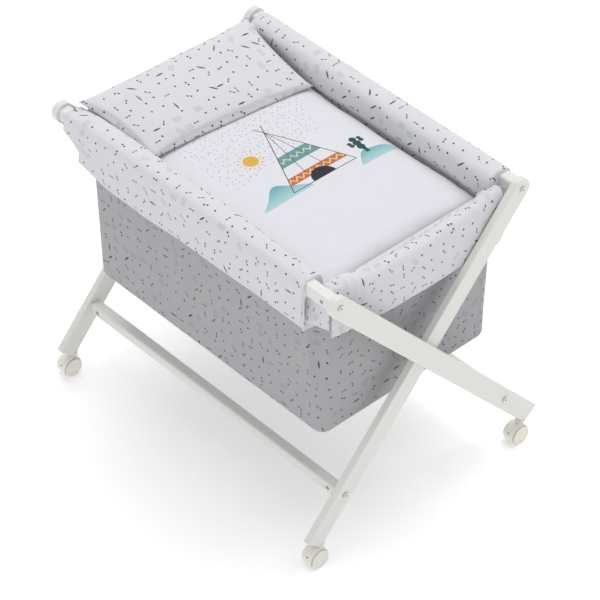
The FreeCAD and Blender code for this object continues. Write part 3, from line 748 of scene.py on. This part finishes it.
def basket():
    """A double-sided fabric box with a rounded bottom edge."""
    lo, hi = shell_lo, shell_hi
    foot_x, foot_y, corner = hi.x - SHELL_TAPER[0], hi.y - SHELL_TAPER[1], 0.022
    across, levels = 320, 44
    wall, turn = 0.0022, 0.012
    points, cloth = [], []

    def ring(share, inset, z, flat=1.0):
        """One level of the wall, or of the floor when flat shrinks it towards the middle."""
        half_x = foot_x + (hi.x - foot_x) * share - inset
        half_y = foot_y + (hi.y - foot_y) * share - inset
        outline, length = rounded_outline(half_x, half_y, corner, across)
        for j, (x, y) in enumerate(outline):
            x, y = gathered(x, y, z, inset / half_x)
            points.append((x * flat, y * flat, z))
            cloth.append((length * j / across, z))

    z0, z1 = lo.z, hi.z
    for flat in (0.02, 0.5, 0.9):
        ring(0.0, turn, z0 + 0.0004, flat)
    for k in range(6):
        a = math.pi / 2 * k / 5
        ring(0.0, turn * (1 - math.sin(a)), z0 + turn * (1 - math.cos(a)))
    for k in range(1, levels):
        share = k / (levels - 1)
        ring(share, 0.0, z0 + turn + (z1 - z0 - turn) * share)
    for k in range(levels):
        share = 1 - k / (levels - 1)
        ring(share, wall, z0 + 0.004 + (z1 - z0 - 0.004) * share)
    ring(0.0, turn, z0 + 0.004, 0.9)
    ring(0.0, turn, z0 + 0.004, 0.02)
    rows = len(points) // across
    faces = grid_faces(rows, across, wrap=True)
    faces.append(list(range(across)))
    faces.append([(rows - 1) * across + j for j in range(across)][::-1])
    made = mesh_object("basket", points, faces, cloth)

    def free(p):
        return max(0.0, min(1.0, (p.z - z0) / 0.06)) * max(0.0, min(1.0, (z1 - p.z) / 0.05))

    crease(made, 0.19, 0.0032, 41, (1, 1, 0.45), free)
    crease(made, 0.06, 0.0012, 43, (1.2, 1.2, 0.3), free)
    dress(made, "outer_frame", print_grey, "basket_fabric", "basket_shell")
    seam, _ = rounded_outline(foot_x - 0.001, foot_y - 0.001, corner, 260)
    welt = closed_tube("basket_welt", [(x, y, z0 + turn + 0.001) for x, y in seam], 0.0013)
    dress(welt, "outer_frame", print_grey, "basket_fabric")
    return made, welt


basket_piece, basket_welt = basket()


# ------------------------------------------------------------------ bedding
def sewn_cushion(name, corners, thickness, sag, counts, pressure, cap, seed):
    """Two sheets sewn at their edges and blown up. corners: (x, y, z) in order round the edge.

    sag is how far the under sheet hangs below the seam at the head edge.
    """
    a, b, c, d = (Vector(p) for p in corners)
    nx, ny = counts
    normal = (b - a).cross(d - a).normalized()
    if normal.z < 0:
        normal = -normal
    points, cloth, faces = [], [], []
    index = {}
    for sheet in (1, -1):
        for i in range(nx):
            for j in range(ny):
                s, t = i / (nx - 1), j / (ny - 1)
                edge = i in (0, nx - 1) or j in (0, ny - 1)
                if edge and sheet < 0:
                    index[sheet, i, j] = index[1, i, j]
                    continue
                p = a.lerp(b, s).lerp(d.lerp(c, s), t)
                pull = 0.006 * (math.sin(math.pi * s) * abs(2 * t - 1) ** 6
                                + math.sin(math.pi * t) * abs(2 * s - 1) ** 6)
                p = p.lerp((a + b + c + d) / 4, pull / 0.2)
                fill = (1 - abs(2 * s - 1) ** 3.2) * (1 - abs(2 * t - 1) ** 4.5)
                depth = thickness / 2 if sheet > 0 else sag + (thickness / 2 - sag) * s
                index[sheet, i, j] = len(points)
                points.append(p + normal * (sheet * fill ** 0.8 * depth))
                cloth.append(((b - a).length * s + (0 if sheet > 0 else 3), (d - a).length * t))
        for i in range(nx - 1):
            for j in range(ny - 1):
                quad = [index[sheet, i, j], index[sheet, i + 1, j],
                        index[sheet, i + 1, j + 1], index[sheet, i, j + 1]]
                faces.append(quad if sheet > 0 else quad[::-1])
    made = mesh_object(name, points, faces, cloth)
    crease(made, 0.09, 0.0022, seed, (1, 1, 1))
    inflate(made, pressure, cap)
    return made


pillow = sewn_cushion(
    "pillow_cushion",
    [(-0.388, -0.240, 0.722), (-0.188, -0.208, 0.664), (-0.150, 0.208, 0.664), (-0.374, 0.216, 0.722)],
    0.034, 0.042, (60, 84), 1.6, 0.005, 51)
dress(pillow, "outer_frame", print_pillow, "pillow_fabric", "pillow")


def landscape(g, point, tone):
    """A sun, scattered dots, two hills, a striped tent and a small bush, printed in the middle."""
    def circle(cx, cy, radius, soft=0.5):
        offset = g.vector("SUBTRACT", point, (cx, cy, 0))
        made = g.node("ShaderNodeVectorMath", operation="LENGTH")
        g.link(offset, made.inputs[0])
        return g.below(made.outputs["Value"], radius, soft), offset, made.outputs["Value"]

    def left_of(p, q):
        """Half-plane to the left of the line from p to q."""
        length = math.dist(p, q)
        nx, ny = -(q[1] - p[1]) / length, (q[0] - p[0]) / length
        return g.above(g.linear(point, nx, ny, -(nx * p[0] + ny * p[1])), 0.0, 0.5)

    def polygon(*corners):
        return g.all(*(left_of(p, q) for p, q in zip(corners, corners[1:] + corners[:1])))

    def line(p, q, width=2.0):
        length = math.dist(p, q)
        nx, ny = -(q[1] - p[1]) / length, (q[0] - p[0]) / length
        tx, ty = (q[0] - p[0]) / length, (q[1] - p[1]) / length
        away = g.math("ABSOLUTE", g.linear(point, nx, ny, -(nx * p[0] + ny * p[1])))
        run = g.linear(point, tx, ty, -(tx * p[0] + ty * p[1]))
        return g.all(g.below(away, width / 2, 0.4), g.above(run, 0.0), g.below(run, length))

    # The cloth's x runs towards the foot end, down the print, and its y towards the back, to its right.
    dots = g.node("ShaderNodeTexVoronoi", voronoi_dimensions="2D")
    g.link(g.vector("MULTIPLY", point, (1 / 13, 1 / 13, 0)), dots.inputs["Vector"])
    dots.inputs["Scale"].default_value = 1.0
    dots.inputs["Randomness"].default_value = 0.9
    speck = g.below(dots.outputs["Distance"], 0.085, 0.03)
    field = g.all(g.above(g.linear(point, 1, 0.0), -205.0), g.below(g.linear(point, 1, 0.15), -20.0),
                  g.above(g.linear(point, 0.0, 1.0), -150.0), g.below(g.linear(point, 0.3, 1.0), 110.0))
    tone = g.mix(g.all(speck, field), tone, (0.10, 0.11, 0.13))
    sun, offset, far = circle(-52.0, -62.0, 17.0)
    sx, sy, _ = g.split(offset)
    angle = g.math("ARCTAN2", sy, sx)
    spokes = g.above(g.math("COSINE", g.math("MULTIPLY", angle, 16.0)), 0.8, 0.2)
    rays = g.all(spokes, g.above(far, 21.0), g.below(far, 29.0))
    tone = g.mix(g.any(sun, rays), tone, (0.72, 0.44, 0.08))
    px, py, _ = g.split(point)
    for start, end, foot, rise in ((-150.0, -18.0, 92.0, 46.0), (96.0, 205.0, 112.0, 40.0)):
        share = g.math("DIVIDE", g.math("SUBTRACT", py, start), end - start, clamp=True)
        crest = g.math("SUBTRACT", foot, g.math("MULTIPLY", g.math("SINE",
                       g.math("MULTIPLY", share, math.pi)), rise))
        wobble = g.math("MULTIPLY", g.math("SINE", g.math("MULTIPLY", py, 0.09)), 5.0)
        hill = g.all(g.above(g.math("SUBTRACT", px, g.math("ADD", crest, wobble)), 0.0, 1.5),
                     g.below(px, foot), g.above(py, start), g.below(py, end))
        depth = g.math("DIVIDE", g.math("SUBTRACT", foot, px), rise, clamp=True)
        tone = g.mix(hill, tone, g.mix(depth, (0.45, 0.66, 0.68), (0.17, 0.42, 0.46)))
    apex, left, right = (-105.0, 22.0), (84.0, -66.0), (84.0, 106.0)

    def slope(a, b, x):
        return a[1] + (b[1] - a[1]) * (x - a[0]) / (b[0] - a[0])

    for top, bottom, color in ((-22.0, 12.0, (0.14, 0.34, 0.37)), (44.0, 66.0, (0.55, 0.17, 0.07))):
        band = polygon((top, slope(apex, left, top)), (bottom, slope(apex, left, bottom)),
                       (bottom, slope(apex, right, bottom)), (top, slope(apex, right, top)))
        zig = g.math("ABSOLUTE", g.math("SUBTRACT", g.math("FRACT", g.math("MULTIPLY", py, 0.055)), 0.5))
        edge = g.math("MULTIPLY_ADD", zig, 22.0, (top + bottom) / 2 - 5.5)
        stripe = g.below(g.math("ABSOLUTE", g.math("SUBTRACT", px, edge)), 2.4, 0.6)
        tone = g.mix(band, tone, color)
        tone = g.mix(g.all(band, stripe), tone, (0.80, 0.62, 0.30))
    door, _, _ = circle(84.0, 20.0, 30.0)
    tone = g.mix(g.all(door, g.below(px, 84.0)), tone, (0.03, 0.03, 0.04))
    poles = [line(apex, left), line(apex, right), line(left, right),
             line((-128.0, 33.0), apex), line((-128.0, 11.0), apex)]
    for share in (0.33, 0.67):
        foot = (84.0, left[1] + (right[1] - left[1]) * share)
        poles.append(g.all(line(apex, foot, 1.5), g.below(px, 50.0)))
    tone = g.mix(g.any(*poles), tone, (0.09, 0.08, 0.09))
    bush = g.any(*(circle(x, y, r)[0] for x, y, r in ((62, 140, 9), (48, 141, 9), (34, 141, 8),
                                                      (50, 126, 5.5), (42, 125, 5), (44, 156, 5.5),
                                                      (36, 156, 5))))
    stem = line((84.0, 141.0), (40.0, 141.0), 9.0)
    return g.mix(g.any(bush, stem), tone, (0.02, 0.09, 0.08))


quilt_print = fabric("cotton_white_landscape", QUILT_CLOTH, extra=landscape)
quilt_lo, quilt_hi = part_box("quilt")


def make_quilt():
    """A flat padded quilt tucked in all round, slightly crowned and pulled at the foot corners."""
    nx, ny = 110, 76
    x0, x1, y0, y1 = quilt_lo.x + 0.08, quilt_hi.x, quilt_lo.y, quilt_hi.y
    points, cloth, faces = [], [], []
    index = {}
    top_z = quilt_hi.z
    for sheet in (1, -1):
        for i in range(nx):
            for j in range(ny):
                edge = i in (0, nx - 1) or j in (0, ny - 1)
                if edge and sheet < 0:
                    index[sheet, i, j] = index[1, i, j]
                    continue
                s, t = i / (nx - 1), j / (ny - 1)
                x, y = x0 + (x1 - x0) * s, y0 + (y1 - y0) * t
                fill = (1 - abs(2 * s - 1) ** 14) * (1 - abs(2 * t - 1) ** 10)
                crown = 0.006 * math.sin(math.pi * s) * math.sin(math.pi * t)
                if sheet > 0:
                    z = top_z - 0.026 + 0.026 * fill ** 0.5 + crown
                else:
                    z = top_z - 0.026 - 0.018 * fill ** 0.5
                index[sheet, i, j] = len(points)
                points.append((x, y, z))
                cloth.append((x + (0 if sheet > 0 else 3), y))
        for i in range(nx - 1):
            for j in range(ny - 1):
                quad = [index[sheet, i, j], index[sheet, i + 1, j],
                        index[sheet, i + 1, j + 1], index[sheet, i, j + 1]]
                faces.append(quad if sheet > 0 else quad[::-1])
    made = mesh_object("quilt_cover", points, faces, cloth)

    def near_edge(p):
        rim = min(p.y - y0, y1 - p.y, x1 - p.x)
        return 0.25 + 0.75 * math.exp(-(rim / 0.035) ** 2)

    def foot_corner(p):
        reach = min(math.dist((p.x, p.y), (x1, y0)), math.dist((p.x, p.y), (x1, y1)))
        return math.exp(-(reach / 0.07) ** 2)

    crease(made, 0.11, 0.0035, 61, (1, 1, 1), near_edge)
    crease(made, 0.016, 0.003, 63, (1, 0.25, 1), foot_corner)
    inflate(made, 1.2, 0.006, frames=12)
    dress(made, "outer_frame", quilt_print, "quilt_fabric", "quilt")
    return made


quilt = make_quilt()


def quilted_block(name, node, radius, material, slot):
    """A soft-edged block for a piece that is mostly hidden: the mattress, the sling or the board."""
    lo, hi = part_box(node)
    size = hi - lo
    across = 120
    outline, length = rounded_outline(size.x / 2, size.y / 2, radius, across)
    edge = min(0.008, size.z / 2.2)
    points, cloth = [], []
    levels = [(0.0, 0.02, lo.z), (0.0, 0.7, lo.z)]
    for k in range(5):
        a = math.pi / 2 * k / 4
        levels.append((edge * (1 - math.sin(a)), 1.0, lo.z + edge * (1 - math.cos(a))))
    for k in range(4, -1, -1):
        a = math.pi / 2 * k / 4
        levels.append((edge * (1 - math.sin(a)), 1.0, hi.z - edge * (1 - math.cos(a))))
    levels += [(0.0, 0.7, hi.z), (0.0, 0.02, hi.z)]
    for inset, scale, z in levels:
        for j, (x, y) in enumerate(outline):
            shrink = scale * (1 - inset / 0.3)
            x, y = gathered(x * shrink, y * shrink, z, 0.035)
            points.append((x, y, z))
            cloth.append((length * j / across, z + scale))
    faces = grid_faces(len(levels), across, wrap=True)
    faces.append(list(range(across)))
    faces.append([(len(levels) - 1) * across + j for j in range(across)][::-1])
    made = mesh_object(name, points, faces, cloth)
    dress(made, "outer_frame", material, slot, node)
    return made


mattress = quilted_block("mattress_block", "mattress", 0.032, plain_white, "mattress_cover")
sling = quilted_block("basket_floor_sling", "mattress_sling", 0.018, print_grey, "basket_fabric")


def make_lining():
    """The padded wall inside the basket, from the mattress up to under the rolls."""
    lo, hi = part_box("inner_lining")
    room_x, room_y = hi.x - 0.0204, hi.y - 0.010
    across = 200
    levels = [(0, lo.z), (0, lo.z + 0.03), (0, hi.z - 0.03), (0, hi.z - 0.006), (0.25, hi.z),
              (0.75, hi.z), (1, hi.z - 0.006), (1, hi.z - 0.03), (1, lo.z + 0.03), (1, lo.z)]
    points, cloth = [], []
    for share, z in levels:
        half_x = hi.x + (room_x - hi.x) * share
        half_y = hi.y + (room_y - hi.y) * share
        outline, length = rounded_outline(half_x, half_y, 0.024, across)
        for j, (x, y) in enumerate(outline):
            x, y = gathered(x, y, z, 0.035)
            points.append((x, y, z))
            cloth.append((length * j / across, z + share * 0.04))
    rows = len(levels)
    faces = grid_faces(rows, across, wrap=True)
    faces += [[(rows - 1) * across + j, j, (j + 1) % across, (rows - 1) * across + (j + 1) % across]
              for j in range(across)]
    made = mesh_object("lining_wall", points, faces, cloth)
    dress(made, "outer_frame", print_white, "bumper_fabric", "inner_lining")
    return made


lining = make_lining()

board_wood = Graph("plywood", (0.55, 0.40, 0.24), 0.6)
grain = board_wood.noise(board_wood.vector("MULTIPLY", board_wood.place(), (4, 60, 60)), 1.0, 5.0)
board_wood.color(board_wood.mix(grain, (0.50, 0.36, 0.21), (0.60, 0.45, 0.28)))
board_wood.bump(grain, 0.0003)
board = quilted_block("base_panel", "base_board", 0.024, board_wood.material, "board")

# ------------------------------------------------------------------ each piece gets its own copy of its mesh
for piece in (foot_band, head_band, corner_panel, corner_pleat, basket_piece, basket_welt,
              quilt, mattress, sling, lining, board):
    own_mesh(piece)
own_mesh(pillow)

# ------------------------------------------------------------------ floor, light and camera
CAMERA_PLACE = Vector((3.6663, -3.3365, 4.5900))
CAMERA_AIM = Vector((0.029, 0.0, 0.307))
CAMERA_LENS = 186.0  # mm, on a sensor 36 mm wide
FLOOR_HALF = 30  # m
FLOOR_GLOW = 0.22  # lightens the shadow, as a lit backdrop does
floor_graph = Graph("floor", (0.93, 0.93, 0.93), 0.9, Specular_IOR_Level=0.1)
floor_graph.color(floor_graph.mix(floor_graph.noise(floor_graph.place(), 0.4, 2.0),
                                  (0.93, 0.93, 0.93), (0.95, 0.95, 0.95)))
floor_graph.shader.inputs["Emission Color"].default_value = (1.0, 1.0, 1.0, 1)
floor_graph.shader.inputs["Emission Strength"].default_value = FLOOR_GLOW
floor_corners = [(x * FLOOR_HALF, y * FLOOR_HALF, 0) for x, y in ((-1, -1), (1, -1), (1, 1), (-1, 1))]
floor = mesh_object("floor", floor_corners, [[0, 1, 2, 3]])
floor.data.materials.append(floor_graph.material)

scene.view_settings.view_transform = "Standard"
world = bpy.data.worlds.new("studio")
scene.world = world
world.use_nodes = True
world.node_tree.nodes["Background"].inputs["Color"].default_value = (0.98, 0.985, 1.0, 1)
world.node_tree.nodes["Background"].inputs["Strength"].default_value = 0.60


def soft_sun(name, direction, strength, spread):
    """An even light from a wide patch of sky; direction points from the light to the object."""
    data = bpy.data.lights.new(name, "SUN")
    data.energy = strength
    data.angle = math.radians(spread)
    made = bpy.data.objects.new(name, data)
    scene.collection.objects.link(made)
    made.rotation_euler = Vector(direction).to_track_quat("-Z", "Y").to_euler()


soft_sun("overhead", (0.15, -0.35, -1.0), 1.55, 60)
soft_sun("from_front", (0.1, 0.9, -0.8), 0.20, 40)

camera_data = bpy.data.cameras.new("camera")
camera = bpy.data.objects.new("camera", camera_data)
scene.collection.objects.link(camera)
scene.camera = camera
camera.location = CAMERA_PLACE
camera.rotation_euler = (CAMERA_AIM - CAMERA_PLACE).to_track_quat("-Z", "Y").to_euler()
camera_data.sensor_width = 36
camera_data.lens = CAMERA_LENS
camera_data.clip_end = 100
